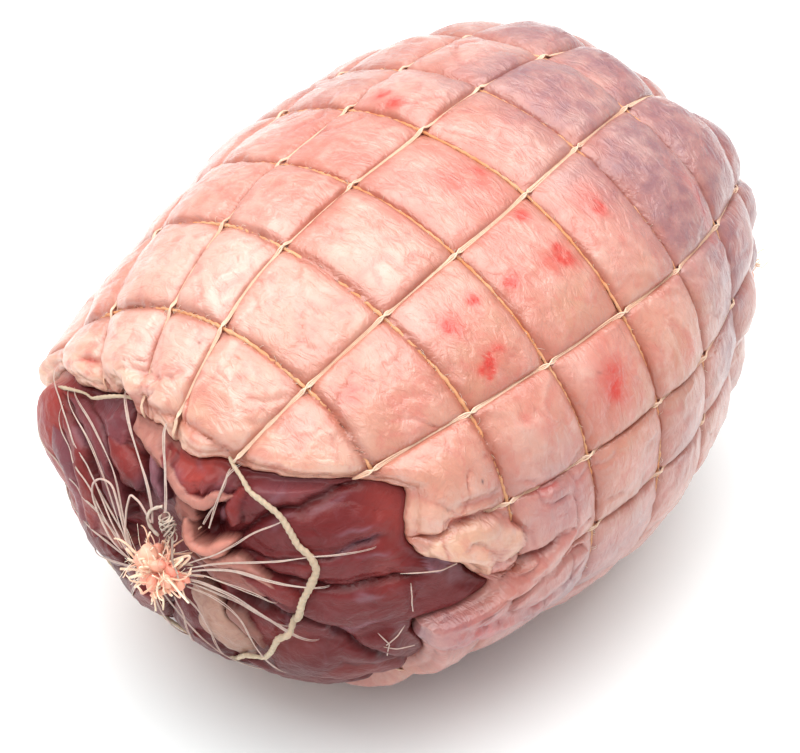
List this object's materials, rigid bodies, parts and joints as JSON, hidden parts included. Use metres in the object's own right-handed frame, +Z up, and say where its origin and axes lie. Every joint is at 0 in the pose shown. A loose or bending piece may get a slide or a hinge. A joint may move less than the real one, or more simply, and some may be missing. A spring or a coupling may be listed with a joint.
{
  "type": "rolled turkey roast",
  "caption": "Raw boned turkey rolled in its own skin: a blunt barrel bulging between the cords of an elastic net gathered and tied at both ends, dark meat bare at one end.",
  "frame": {"origin": "middle of the bounding box, on the surface that the roast rests on", "axes": "+X along the roll, from the bare tied end to the far tie; +Y across it; +Z up"},
  "size_m": [0.2256, 0.1454, 0.1308],
  "materials": {
    "meat": "wet raw dark turkey meat with pale membrane",
    "skin": "moist raw poultry skin, pale pink with creamy fat",
    "net": "covered elastic cord, cream stained pinkish brown",
    "thread": "dull grey-white thread"
  },
  "bodies": {
    "root": {"meat": "meat", "skin": "skin", "net": "net", "tie_thread": "thread"}
  },
  "joints": []
}
